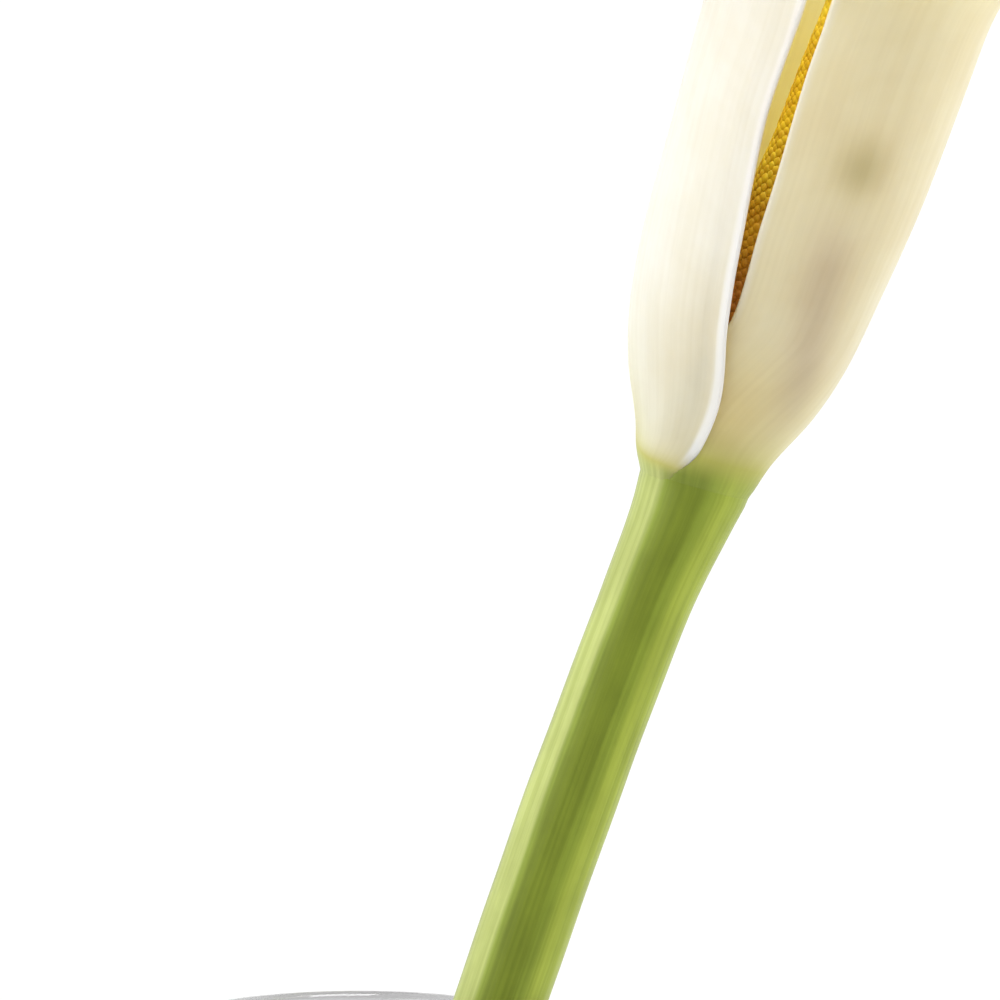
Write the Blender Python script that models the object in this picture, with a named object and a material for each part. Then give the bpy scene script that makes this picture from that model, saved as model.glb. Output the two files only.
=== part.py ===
"""A half-furled calla lily leaning in a plain glass cylinder vase.

Metres, +Z up. The origin is the centre of the vase's flat underside. The stem leans towards +X, and the
slit between the two margins of the spathe faces -Y.
"""

import math

import bmesh
import bpy
from mathutils import Vector

MM = 0.001
GAP = 0.35 * MM  # clearance between pieces that touch

# Vase: a straight glass cylinder with a thick base and a fire-polished rim
VASE_RADIUS = 34.0 * MM
VASE_HEIGHT = 150.0 * MM
VASE_WALL = 2.4 * MM
VASE_BASE = 8.0 * MM
VASE_FOOT_ROUND = 2.0 * MM
VASE_FLOOR_ROUND = 3.0 * MM
VASE_SIDES = 48
WATER_LEVEL = 95.0 * MM
WATER_SIDES = 32
WATER_ROOM = 0.5  # mm between the water and the stem

# Stem: (x, z) of its centreline from the cut end to the neck, and its radius at heights above the table
STEM_LINE = [(-22.6, 10.9), (6.2, 100.0), (25.8, 158.4), (36.4, 189.1), (49.0, 223.0), (54.7, 236.6),
             (56.8, 242.0)]
STEM_RADIUS = [(10.0, 7.5), (120.0, 7.8), (215.0, 7.8), (230.0, 8.1), (237.0, 8.6), (242.0, 9.3)]
STEM_NECK_RADIUS = 9.6 * MM  # where the foot of the spathe sits on the stem
STEM_SIDES = 24
STEM_STEPS = 26
STEM_PLUG_RADIUS = 6.6 * MM  # the stem's narrow top, inside the foot of the spathe
STEM_PLUG_TOP = 3.0 * MM

# Flower frame: distances along the flower's axis are measured from the neck
NECK = Vector((57.6, 0.0, 244.1)) * MM
FLOWER_LEAN = math.radians(17.5)

# Spathe: radius, and the angles of its two margins from the front (+ is right), along the flower's axis, in mm
SPATHE_RADIUS = [(0.0, 10.2), (6.0, 12.2), (15.0, 16.3), (25.0, 19.1), (40.0, 21.0), (60.0, 22.4), (90.0, 23.7),
                 (160.0, 26.0)]
LEFT_MARGIN = [(0.0, -13.0), (6.0, -4.0), (14.0, -2.5), (26.0, -10.0), (40.0, -15.5), (60.0, -22.0), (76.0, -21.0),
               (95.0, -21.0), (160.0, -21.0)]
RIGHT_MARGIN = [(0.0, -50.0), (12.0, -38.0), (22.0, -18.0), (28.0, -8.5), (45.0, -9.3), (70.0, -10.7), (84.0, -8.5),
                (100.0, -6.0), (160.0, -6.0)]
SPATHE_SLANT = -0.6  # mm that the lower half of the spathe sits off the axis, to the left
SPATHE_LAP = 1.7  # mm from the outer lap's face down to the inner lap's face
SPATHE_THICKNESS = [(0.0, 1.2), (60.0, 1.15), (120.0, 0.9), (160.0, 0.8)]
RIM_FRONT = 92.0  # mm along the leaf to where the slit opens into the mouth
RIM_RISE = 31.0  # mm more to the back of the mouth
TIP_RISE = 26.0  # mm more to the shoulders of the tip
TIP_WIDTH = 0.28  # share of the half leaf that the tip takes
POINT_RISE = 9.0  # mm more to the point
POINT_WIDTH = 0.06
CURL_DEGREES = [(0.0, 30.0), (0.2, 75.0), (0.5, 108.0), (0.8, 92.0), (1.0, 86.0)]  # from margin to back
CURL_REACH = [(0.0, 18.0), (0.3, 30.0), (0.6, 35.0), (1.0, 58.0)]  # mm before the rim where the curl starts
SPATHE_COLUMNS = 48
SPATHE_ROWS = 22

# Spadix: radius along the flower's axis, in mm
SPADIX_RADIUS = [(3.4, 4.6), (8.0, 6.2), (18.0, 6.9), (50.0, 6.9), (59.0, 5.7), (80.0, 4.7), (94.0, 4.1)]
SPADIX_TOP = 102.0
SPADIX_SIDES = 20

FLOWER_UP = Vector((math.sin(FLOWER_LEAN), 0.0, math.cos(FLOWER_LEAN)))
FLOWER_RIGHT = Vector((math.cos(FLOWER_LEAN), 0.0, -math.sin(FLOWER_LEAN)))
BACK = Vector((0.0, 1.0, 0.0))


def ease(low, high, x):
    """A smooth step from 0 at low to 1 at high."""
    t = min(max((x - low) / (high - low), 0.0), 1.0)
    return t * t * (3.0 - 2.0 * t)


def curve_at(points, x):
    """The smooth curve through (x, value) points, flat beyond both ends."""
    x = min(max(x, points[0][0]), points[-1][0])
    i = 0
    while i < len(points) - 2 and x > points[i + 1][0]:
        i += 1

    def slope(k):
        a, b = max(k - 1, 0), min(k + 1, len(points) - 1)
        return (points[b][1] - points[a][1]) / (points[b][0] - points[a][0])

    (x0, y0), (x1, y1) = points[i], points[i + 1]
    h = x1 - x0
    t = (x - x0) / h
    rise = y1 - y0
    a = slope(i) * h - rise
    b = rise - slope(i + 1) * h
    return y0 + t * rise + t * (1.0 - t) * ((1.0 - t) * a + t * b)


def material(name, colour, roughness, alpha=1.0, transmission=0.0, ior=1.45):
    """A Principled material of one colour."""
    made = bpy.data.materials.new(name)
    made.use_nodes = True
    shader = made.node_tree.nodes["Principled BSDF"]
    shader.inputs["Base Color"].default_value = (*colour, 1.0)
    shader.inputs["Roughness"].default_value = roughness
    shader.inputs["Metallic"].default_value = 0.0
    shader.inputs["Alpha"].default_value = alpha
    shader.inputs["Transmission Weight"].default_value = transmission
    shader.inputs["IOR"].default_value = ior
    made.diffuse_color = (*colour, 1.0)
    return made


def add_piece(name, rings, looks):
    """A solid from rings of points: each ring joins the next, and the first and last are capped."""
    work = bmesh.new()
    rows = [[work.verts.new(p) for p in ring] for ring in rings]
    count = len(rows[0])
    for low, high in zip(rows, rows[1:]):
        for i in range(count):
            j = (i + 1) % count
            work.faces.new((low[i], low[j], high[j], high[i]))
    work.faces.new(list(reversed(rows[0])))
    work.faces.new(rows[-1])
    bmesh.ops.recalc_face_normals(work, faces=work.faces)
    return finish_piece(name, work, looks)


def finish_piece(name, work, looks):
    """Turn a bmesh into a named, smooth-shaded object."""
    mesh = bpy.data.meshes.new(name)
    work.to_mesh(mesh)
    work.free()
    mesh.shade_smooth()
    mesh.set_sharp_from_angle(angle=math.radians(40.0))
    mesh.materials.append(looks)
    piece = bpy.data.objects.new(name, mesh)
    bpy.context.scene.collection.objects.link(piece)
    return piece


def arc(centre_x, centre_z, radius, start, stop, steps):
    """Points of a round stretch of a turned profile; the angles are in degrees from +X."""
    points = []
    for k in range(steps + 1):
        angle = math.radians(start + (stop - start) * k / steps)
        points.append((centre_x + radius * math.cos(angle), centre_z + radius * math.sin(angle)))
    return points


def turned_rings(profile, sides):
    """A ring of points for each (radius, z) of a profile turned about Z."""
    rings = []
    for radius, z in profile:
        ring = []
        for k in range(sides):
            angle = 2.0 * math.pi * k / sides
            ring.append(Vector((radius * math.cos(angle), radius * math.sin(angle), z)))
        rings.append(ring)
    return rings


def make_vase():
    """The glass: up the outside, over the round rim, down the inside and across the floor."""
    inner = VASE_RADIUS - VASE_WALL
    lip = VASE_WALL / 2.0
    profile = arc(VASE_RADIUS - VASE_FOOT_ROUND, VASE_FOOT_ROUND, VASE_FOOT_ROUND, -90.0, 0.0, 3)
    profile += arc(VASE_RADIUS - lip, VASE_HEIGHT - lip, lip, 0.0, 180.0, 6)
    floor_x = inner - VASE_FLOOR_ROUND
    profile += arc(floor_x, VASE_BASE + VASE_FLOOR_ROUND, VASE_FLOOR_ROUND, 0.0, -90.0, 3)
    glass = material("glass", (0.93, 0.97, 0.96), 0.03, alpha=0.35, transmission=1.0, ior=1.5)
    return add_piece("vase", turned_rings(profile, VASE_SIDES), glass)


def stem_place(z):
    """Centre of the stem at a height in mm, and the direction across it in its plane."""
    line = [(height, x) for x, height in STEM_LINE]
    low, high = max(z - 0.5, line[0][0]), min(z + 0.5, line[-1][0])
    lean = math.atan2(curve_at(line, high) - curve_at(line, low), high - low)
    centre = Vector((curve_at(line, z), 0.0, z)) * MM
    return centre, Vector((math.cos(lean), 0.0, -math.sin(lean)))


def stem_rings():
    """Rings of the stem from its cut end to the neck, then its narrow top inside the spathe."""
    bottom, top = STEM_LINE[0][1], STEM_LINE[-1][1]
    rings = []
    for k in range(STEM_STEPS + 1):
        z = bottom + (top - bottom) * k / STEM_STEPS
        centre, across = stem_place(z)
        rings.append(ring_about(centre, across, curve_at(STEM_RADIUS, z) * MM, STEM_SIDES))
    shoulder = NECK - FLOWER_UP * GAP
    top_end = NECK + FLOWER_UP * STEM_PLUG_TOP
    rings.append(ring_about(shoulder, FLOWER_RIGHT, STEM_NECK_RADIUS, STEM_SIDES))
    rings.append(ring_about(shoulder, FLOWER_RIGHT, STEM_PLUG_RADIUS, STEM_SIDES))
    rings.append(ring_about(top_end, FLOWER_RIGHT, STEM_PLUG_RADIUS, STEM_SIDES))
    return rings


def ring_about(centre, across, radius, sides):
    """A round ring whose plane holds across and the Y axis."""
    ring = []
    for k in range(sides):
        angle = 2.0 * math.pi * k / sides
        ring.append(centre + (across * math.cos(angle) + BACK * math.sin(angle)) * radius)
    return ring


def make_stem():
    green = material("stem_green", (0.30, 0.42, 0.09), 0.42)
    return add_piece("stem", stem_rings(), green)


def make_water():
    """A plug of water that fills the vase to its level, cut clear of the stem."""
    inner = VASE_RADIUS - VASE_WALL - GAP
    low = VASE_BASE + GAP
    floor_round = VASE_FLOOR_ROUND
    profile = arc(inner - floor_round, low + floor_round, floor_round, -90.0, 0.0, 3)
    profile.append((inner, WATER_LEVEL))
    clear = material("water", (0.90, 0.96, 0.97), 0.02, alpha=0.3, transmission=1.0, ior=1.33)
    water = add_piece("water", turned_rings(profile, WATER_SIDES), clear)
    cutter = make_stem_cutter(clear)
    cut = water.modifiers.new("stem_space", "BOOLEAN")
    cut.operation = "DIFFERENCE"
    cut.solver = "EXACT"
    cut.object = cutter
    return water


def make_stem_cutter(looks):
    """The stem's room in the water: the same line, a gap wider, run out through the floor."""
    low, high, steps = STEM_LINE[0][1], WATER_LEVEL / MM + 12.0, 8
    start, across = stem_place(low)
    down = BACK.cross(across)
    room = (curve_at(STEM_RADIUS, low) + WATER_ROOM) * MM
    rings = [ring_about(start + down * VASE_BASE, across, room, STEM_SIDES)]
    for k in range(steps + 1):
        z = low + (high - low) * k / steps
        centre, across = stem_place(z)
        rings.append(ring_about(centre, across, (curve_at(STEM_RADIUS, z) + WATER_ROOM) * MM, STEM_SIDES))
    cutter = add_piece("stem_cutter", rings, looks)
    cutter.hide_render = True
    cutter.display_type = "WIRE"
    return cutter


def leaf_length(share):
    """Length of the leaf along a column; share runs from 0 at a margin to 1 at the back."""
    off = 1.0 - share
    tip = TIP_RISE * math.exp(-((off / TIP_WIDTH) ** 2)) + POINT_RISE * math.exp(-off / POINT_WIDTH)
    return RIM_FRONT + RIM_RISE * share ** 0.5 + tip


def leaf_column(side, steps):
    """Points of one column of the spathe's outer face, from the neck to the rim, in metres.

    side runs from -1 at the left margin through 0 at the back to 1 at the right margin.
    """
    share = 1.0 - abs(side)
    length = leaf_length(share)
    curl = math.radians(curve_at(CURL_DEGREES, share))
    reach = curve_at(CURL_REACH, share)
    points = []
    s, flare, along = 0.0, 0.0, 0.0
    small = length / (steps * 8)
    for k in range(steps * 8 + 1):
        if k % 8 == 0:
            points.append(leaf_point(side, s, flare))
        bend = curl * max(0.0, 1.0 - (length - along) / reach) ** 1.6
        s += small * math.cos(bend)
        flare += small * math.sin(bend)
        along += small
    return points


def leaf_point(side, s, flare):
    """A point of the outer face at s mm along the axis, flare mm outside the plain funnel."""
    if side < 0.0:
        turn = side * (180.0 + curve_at(LEFT_MARGIN, s))
    else:
        turn = side * (180.0 - curve_at(RIGHT_MARGIN, s))
    inward = SPATHE_LAP * ease(115.0, 172.0, turn) * (1.0 - 0.6 * ease(30.0, 60.0, s))
    radius = curve_at(SPATHE_RADIUS, s) + flare - inward
    angle = math.radians(turn)
    slant = SPATHE_SLANT * (1.0 - ease(32.0, 58.0, s))
    centre = NECK + FLOWER_UP * (s * MM) + FLOWER_RIGHT * (slant * MM)
    return centre + (FLOWER_RIGHT * math.sin(angle) + BACK * math.cos(angle)) * (radius * MM)


def leaf_sides():
    """The columns' places across the leaf, closer together at the margins and the tip."""
    half = SPATHE_COLUMNS // 2
    right = []
    for k in range(half + 1):
        x = k / half
        right.append(0.5 * (x ** 1.35 + 1.0 - (1.0 - x) ** 1.25))
    return [-v for v in reversed(right)] + right[1:]


def sheet_normals(grid):
    """Outward directions of a grid of points that runs across, then up."""
    normals = []
    for i, column in enumerate(grid):
        before, after = grid[max(i - 1, 0)], grid[min(i + 1, len(grid) - 1)]
        row = []
        for k in range(len(column)):
            across = after[k] - before[k]
            up = column[min(k + 1, len(column) - 1)] - column[max(k - 1, 0)]
            row.append(up.cross(across).normalized())
        normals.append(row)
    return normals


def make_spathe():
    """The white leaf: one sheet rolled about the spadix, closed round all its edges."""
    grid = [leaf_column(side, SPATHE_ROWS) for side in leaf_sides()]
    normals = sheet_normals(grid)
    work = bmesh.new()
    outer, inner = [], []
    for column, directions in zip(grid, normals):
        outer.append([work.verts.new(p) for p in column])
        depths = [curve_at(SPATHE_THICKNESS, 160.0 * k / SPATHE_ROWS) * MM for k in range(SPATHE_ROWS + 1)]
        inner.append([work.verts.new(p - n * d) for p, n, d in zip(column, directions, depths)])
    last = SPATHE_ROWS
    for i in range(len(outer) - 1):
        for k in range(last):
            work.faces.new((outer[i][k], outer[i][k + 1], outer[i + 1][k + 1], outer[i + 1][k]))
            work.faces.new((inner[i][k], inner[i + 1][k], inner[i + 1][k + 1], inner[i][k + 1]))
        work.faces.new((outer[i][0], outer[i + 1][0], inner[i + 1][0], inner[i][0]))
        work.faces.new((outer[i][last], inner[i][last], inner[i + 1][last], outer[i + 1][last]))
    for k in range(last):
        work.faces.new((outer[0][k], inner[0][k], inner[0][k + 1], outer[0][k + 1]))
        work.faces.new((outer[-1][k], outer[-1][k + 1], inner[-1][k + 1], inner[-1][k]))
    bmesh.ops.recalc_face_normals(work, faces=work.faces)
    cream = material("spathe_white", (0.90, 0.87, 0.74), 0.5)
    return finish_piece("spathe", work, cream)


def make_spadix():
    """The yellow spike, thicker over its lower, fruiting part, with a round end."""
    rings = []
    low, high = SPADIX_RADIUS[0][0], SPADIX_RADIUS[-1][0]
    steps = 18
    for k in range(steps + 1):
        s = low + (high - low) * k / steps
        centre = NECK + FLOWER_UP * (s * MM)
        rings.append(ring_about(centre, FLOWER_RIGHT, curve_at(SPADIX_RADIUS, s) * MM, SPADIX_SIDES))
    end_radius = SPADIX_RADIUS[-1][1]
    for degrees in (25.0, 50.0, 70.0, 82.0):
        angle = math.radians(degrees)
        centre = NECK + FLOWER_UP * ((high + (SPADIX_TOP - high) * math.sin(angle)) * MM)
        rings.append(ring_about(centre, FLOWER_RIGHT, end_radius * math.cos(angle) * MM, SPADIX_SIDES))
    yellow = material("spadix_yellow", (0.80, 0.47, 0.03), 0.75)
    return add_piece("spadix", rings, yellow)


for old in list(bpy.data.objects):
    bpy.data.objects.remove(old, do_unlink=True)
make_vase()
make_water()
make_stem()
make_spathe()
make_spadix()
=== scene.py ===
import math

import bpy
from mathutils import Euler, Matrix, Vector


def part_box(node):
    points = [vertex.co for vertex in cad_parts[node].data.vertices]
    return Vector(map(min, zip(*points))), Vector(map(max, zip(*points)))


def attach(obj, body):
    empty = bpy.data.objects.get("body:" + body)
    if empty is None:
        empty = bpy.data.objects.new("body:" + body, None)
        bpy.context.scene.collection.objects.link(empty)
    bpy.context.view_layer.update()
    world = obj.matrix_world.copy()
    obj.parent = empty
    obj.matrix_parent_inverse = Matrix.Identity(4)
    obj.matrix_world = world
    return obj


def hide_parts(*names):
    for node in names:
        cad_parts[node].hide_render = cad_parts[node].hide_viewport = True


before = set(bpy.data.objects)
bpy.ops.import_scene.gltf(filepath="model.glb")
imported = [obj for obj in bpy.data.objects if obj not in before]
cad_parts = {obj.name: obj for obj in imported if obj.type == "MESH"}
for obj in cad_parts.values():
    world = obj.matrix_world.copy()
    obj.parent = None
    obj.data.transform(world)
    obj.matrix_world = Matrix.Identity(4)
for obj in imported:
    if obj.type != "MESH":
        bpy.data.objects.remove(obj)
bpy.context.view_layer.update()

MM = 0.001


# ---------------------------------------------------------------------------
# Vase: a straight cylinder of clear soda glass, pressed with a thick base, its rim
# melted into a slight bead in a flame. The flat underside is ground so that it stands level.

def arc(centre_x, centre_z, radius, start, stop, steps):
    """Points of a round stretch of a turned profile; the angles are in degrees from +X."""
    points = []
    for k in range(steps + 1):
        angle = math.radians(start + (stop - start) * k / steps)
        points.append((centre_x + radius * math.cos(angle), centre_z + radius * math.sin(angle)))
    return points


def mesh_piece(name, points, faces, looks, sharp_degrees=50.0):
    """A smooth-shaded object in the scene, made from points in metres."""
    mesh = bpy.data.meshes.new(name)
    mesh.from_pydata(points, [], faces)
    mesh.materials.append(looks)
    mesh.shade_smooth()
    mesh.set_sharp_from_angle(angle=math.radians(sharp_degrees))
    piece = bpy.data.objects.new(name, mesh)
    bpy.context.scene.collection.objects.link(piece)
    return piece


def turned(name, profile, sides, looks):
    """A closed solid turned about Z: the profile runs up the outside, and its ends are filled."""
    points, faces = [], []
    for radius, z in profile:
        for k in range(sides):
            angle = 2.0 * math.pi * k / sides
            points.append((radius * math.cos(angle), radius * math.sin(angle), z))
    for row in range(len(profile) - 1):
        for k in range(sides):
            a, b = row * sides + k, row * sides + (k + 1) % sides
            faces.append((a, b, b + sides, a + sides))
    for row, flip in ((0, True), (len(profile) - 1, False)):
        middle = len(points)
        points.append((0.0, 0.0, profile[row][1]))
        for k in range(sides):
            a, b = row * sides + k, row * sides + (k + 1) % sides
            faces.append((b, a, middle) if flip else (a, b, middle))
    return mesh_piece(name, points, faces, looks)


def new_material(name):
    """A new material, its node tree and its Principled shader."""
    made = bpy.data.materials.new(name)
    made.use_nodes = True
    return made, made.node_tree, made.node_tree.nodes["Principled BSDF"]


def node(tree, kind, **settings):
    """A new shader node with some of its settings."""
    made = tree.nodes.new(kind)
    for key, value in settings.items():
        setattr(made, key, value)
    return made


def mixed(tree, factor, first, second, blend="MIX"):
    """One colour blended over another; each is an output or a plain colour."""
    made = node(tree, "ShaderNodeMix", data_type="RGBA", blend_type=blend)
    made.clamp_factor = True
    for socket, value in ((made.inputs[0], factor), (made.inputs[6], first), (made.inputs[7], second)):
        if isinstance(value, bpy.types.NodeSocket):
            tree.links.new(value, socket)
        elif isinstance(value, tuple):
            socket.default_value = (*value, 1.0)
        else:
            socket.default_value = value
    return made.outputs[2]


vase_low, vase_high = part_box("vase")
vase_radius = vase_high.x
vase_height = vase_high.z
vase_wall = 2.4 * MM
vase_base = 8.0 * MM
foot_round = 2.0 * MM
floor_round = 4.0 * MM
rim_round = 1.6 * MM  # half the thickness of the rim's melted bead
rim_height = 1.5 * MM  # how far down the bead is tinted grey, a painted shade for the dark line the rim shows
vase_sides = 160
wall_steps = 12
GLASS_TINT = (0.975, 0.985, 0.98)
RIM_PAINTED_SHADE = (0.42, 0.415, 0.42)

glass, tree, shader = new_material("clear_glass")
height = node(tree, "ShaderNodeSeparateXYZ")
tree.links.new(node(tree, "ShaderNodeTexCoord").outputs["Object"], height.inputs[0])
# The rim bead's glass is tinted grey towards the top: a painted shade standing in for the dark line of its
# refraction.
rim_shading = node(tree, "ShaderNodeMapRange")
rim_shading.inputs["From Min"].default_value = vase_height - rim_height
rim_shading.inputs["From Max"].default_value = vase_height - 0.6 * rim_height
tree.links.new(height.outputs["Z"], rim_shading.inputs["Value"])
tree.links.new(mixed(tree, rim_shading.outputs[0], GLASS_TINT, RIM_PAINTED_SHADE), shader.inputs["Base Color"])
shader.inputs["Roughness"].default_value = 0.0
shader.inputs["IOR"].default_value = 1.5
shader.inputs["Transmission Weight"].default_value = 1.0

inner_radius = vase_radius - vase_wall
rim_middle = vase_height - 1.0 * MM
rim_low = rim_middle - 2.0 * rim_round
profile = [(0.6 * vase_radius, 0.0)]
profile += arc(vase_radius - foot_round, foot_round, foot_round, -90.0, 0.0, 8)
for k in range(1, wall_steps):
    profile.append((vase_radius, foot_round + (rim_low - foot_round) * k / (wall_steps - 1)))
profile += arc(vase_radius - vase_wall / 2.0, rim_middle, rim_round, -25.0, 205.0, 22)
for k in range(wall_steps):
    profile.append((inner_radius, rim_low - (rim_low - vase_base - floor_round) * k / wall_steps))
profile += arc(inner_radius - floor_round, vase_base + floor_round, floor_round, 0.0, -90.0, 10)
profile.append((0.5 * inner_radius, vase_base + 0.2 * MM))
vase = turned("vase_glass", profile, vase_sides, glass)
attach(vase, "root")
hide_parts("vase")


# ---------------------------------------------------------------------------
# Water: fresh tap water to nearly two thirds of the vase. It wets the glass, so its
# surface climbs a little at the wall.

water_low, water_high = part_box("water")
water_top = water_high.z
wetting = 0.06 * MM  # how far the water overlaps the glass, so that no air shows between them
water_radius = inner_radius + wetting
meniscus = 1.4 * MM
meniscus_reach = 2.2 * meniscus
meniscus_steps = 10
water_sides = 160

water_looks, tree, shader = new_material("clear_water")
shader.inputs["Base Color"].default_value = (0.985, 0.995, 0.99, 1.0)
shader.inputs["Roughness"].default_value = 0.0
shader.inputs["IOR"].default_value = 1.33
shader.inputs["Transmission Weight"].default_value = 1.0

profile = arc(water_radius - floor_round, vase_base + floor_round - wetting, floor_round, -90.0, 0.0, 10)
for k in range(1, 9):
    profile.append((water_radius, vase_base + floor_round + (water_top - vase_base - floor_round) * k / 9))
for k in range(meniscus_steps, -1, -1):
    climb = k / meniscus_steps
    profile.append((water_radius - meniscus_reach * (1.0 - climb), water_top - meniscus * (1.0 - climb ** 2)))
water = turned("water_fill", profile, water_sides, water_looks)
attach(water, "root")
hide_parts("water")


# ---------------------------------------------------------------------------
# Stem: one thick, spongy stalk, cut square, faintly angled along its length. It leans
# across the vase, its foot in one corner and its side against the rim opposite.

STEM_LINE = [(-22.6, 10.9), (6.2, 100.0), (25.8, 158.4), (36.4, 189.1), (49.0, 223.0), (54.7, 236.6),
             (56.8, 242.0)]
STEM_RADIUS = [(10.0, 7.5), (120.0, 7.8), (215.0, 7.8), (230.0, 8.1), (237.0, 8.6), (242.0, 9.3)]
STEM_HEAD = [(-0.9, 9.66), (0.0, 9.80), (0.9, 9.62), (1.7, 9.0)]  # past the neck, inside the spathe
NECK = Vector((57.6, 0.0, 244.1)) * MM
FLOWER_LEAN = math.radians(17.5)
FLOWER_UP = Vector((math.sin(FLOWER_LEAN), 0.0, math.cos(FLOWER_LEAN)))
FLOWER_RIGHT = Vector((math.cos(FLOWER_LEAN), 0.0, -math.sin(FLOWER_LEAN)))
BACK = Vector((0.0, 1.0, 0.0))
# Each ridge: degrees round from the front, and its height as a share of the radius.
STEM_RIDGES = [(-30.0, 0.030), (14.0, 0.014), (58.0, 0.022), (105.0, 0.026), (152.0, 0.016), (197.0, 0.028),
               (246.0, 0.022), (288.0, 0.018)]
RIDGE_WIDTH = 15.0
HEAD_RIDGED = 0.06  # how much of the ridges is left at the head
NECK_SHARE = 0.95
STALK_LENGTH = 243.0
stem_sides = 120
stem_steps = 150
stem_cut_rings = 5


def ease(low, high, x):
    """A smooth step from 0 at low to 1 at high."""
    t = min(max((x - low) / (high - low), 0.0), 1.0)
    return t * t * (3.0 - 2.0 * t)


def curve_at(points, x):
    """The smooth curve through (x, value) points, flat beyond both ends."""
    x = min(max(x, points[0][0]), points[-1][0])
    i = 0
    while i < len(points) - 2 and x > points[i + 1][0]:
        i += 1

    def slope(k):
        a, b = max(k - 1, 0), min(k + 1, len(points) - 1)
        return (points[b][1] - points[a][1]) / (points[b][0] - points[a][0])

    (x0, y0), (x1, y1) = points[i], points[i + 1]
    h = x1 - x0
    t = (x - x0) / h
    rise = y1 - y0
    a = slope(i) * h - rise
    b = rise - slope(i + 1) * h
    return y0 + t * rise + t * (1.0 - t) * ((1.0 - t) * a + t * b)


def stem_place(z):
    """Centre of the stem at a height in mm, and the direction across it in its plane."""
    line = [(height, x) for x, height in STEM_LINE]
    low, high = max(z - 0.5, line[0][0]), min(z + 0.5, line[-1][0])
    lean = math.atan2(curve_at(line, high) - curve_at(line, low), high - low)
    return Vector((curve_at(line, z), 0.0, z)) * MM, lean


def ridge_height(degrees):
    """How far the stem's faint ridges stand out at an angle round it, as a share of its radius."""
    total = 0.0
    for place, height in STEM_RIDGES:
        off = (degrees - place + 180.0) % 360.0 - 180.0
        total += height * math.exp(-abs(off) / RIDGE_WIDTH)
    return total - 0.02


def neck_slant(s):
    """How far, in metres, the foot of the flower sits to the left of its axis."""
    return -0.65 * MM * ease(-5.0, 3.5, s) * (1.0 - ease(32.0, 58.0, s))


def stem_share(s):
    """How far up the stalk a place is, as a share, from its distance past the neck in mm."""
    return NECK_SHARE + s / STALK_LENGTH


def stem_ring(centre, lean, radius, ridged):
    """A ring across the stem, from the back round through the left, front and right."""
    across = Vector((math.cos(lean), 0.0, -math.sin(lean)))
    ring = []
    for k in range(stem_sides + 1):
        turn = -180.0 + 360.0 * k / stem_sides
        r = radius * (1.0 + ridged * ridge_height(turn))
        angle = math.radians(turn)
        ring.append(centre + (across * math.sin(angle) - BACK * math.cos(angle)) * (r * MM))
    return ring


rows, row_v = [], []
foot, foot_lean = stem_place(STEM_LINE[0][1])
for k in range(stem_cut_rings):
    share = (k + 0.4) / stem_cut_rings
    rows.append(stem_ring(foot, foot_lean, curve_at(STEM_RADIUS, 10.0) * share * 0.97, share))
    row_v.append(-0.02 * (1.0 - share))
for k in range(stem_steps + 1):
    z = STEM_LINE[0][1] + (STEM_LINE[-1][1] - STEM_LINE[0][1]) * k / stem_steps
    centre, lean = stem_place(z)
    swell = 0.05 * math.sin(z * 0.11) + 0.04 * math.sin(z * 0.27 + 1.0)
    rows.append(stem_ring(centre, lean, curve_at(STEM_RADIUS, z) + swell, 1.0 - 0.9 * ease(228.0, 242.0, z)))
    row_v.append(stem_share(z - NECK.z / MM))
for s, radius in STEM_HEAD:
    centre = NECK + FLOWER_UP * (s * MM) + FLOWER_RIGHT * neck_slant(s)
    rows.append(stem_ring(centre, FLOWER_LEAN, radius, HEAD_RIDGED))
    row_v.append(stem_share(s))

points, faces, uvs = [], [], []
wide = stem_sides
for row in rows:
    points += row[:-1]
for r in range(len(rows) - 1):
    for k in range(wide):
        a, b = r * wide + k, r * wide + (k + 1) % wide
        faces.append((a, b, b + wide, a + wide))
        u0, u1 = k / wide, (k + 1) / wide
        uvs.append(((u0, row_v[r]), (u1, row_v[r]), (u1, row_v[r + 1]), (u0, row_v[r + 1])))
for r, flip in ((0, True), (len(rows) - 1, False)):
    middle = len(points)
    points.append(sum(rows[r][:-1], Vector()) / wide)
    for k in range(wide):
        a, b = r * wide + k, r * wide + (k + 1) % wide
        faces.append((b, a, middle) if flip else (a, b, middle))
        uvs.append(((0.5, row_v[r]),) * 3)


def add_uvs(mesh, corners):
    """Give a mesh the UV map that its material's pattern follows."""
    layer = mesh.uv_layers.new(name="UVMap")
    flat = [corner for face in corners for corner in face]
    for loop, uv in zip(layer.data, flat):
        loop.uv = uv


def math_node(tree, operation, first, second=None, third=None):
    """A maths node in a tree, and its output; inputs are outputs or plain numbers."""
    made = tree.nodes.new("ShaderNodeMath")
    made.operation = operation
    for socket, value in zip(made.inputs, (first, second, third)):
        if isinstance(value, bpy.types.NodeSocket):
            tree.links.new(value, socket)
        elif value is not None:
            socket.default_value = value
    return made.outputs[0]


def ramp(tree, factor, stops, interpolation="EASE"):
    """A colour ramp from (place, colour) stops, and its colour output."""
    made = node(tree, "ShaderNodeValToRGB")
    made.color_ramp.interpolation = interpolation
    elements = made.color_ramp.elements
    while len(elements) < len(stops):
        elements.new(0.5)
    for element, (place, colour) in zip(elements, stops):
        element.position = place
        element.color = (*colour, 1.0)
    tree.links.new(factor, made.inputs["Fac"])
    return made.outputs["Color"]


def uv_place(tree):
    """Where a point is on the piece's own UV map."""
    return node(tree, "ShaderNodeUVMap", uv_map="UVMap").outputs["UV"]


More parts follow.
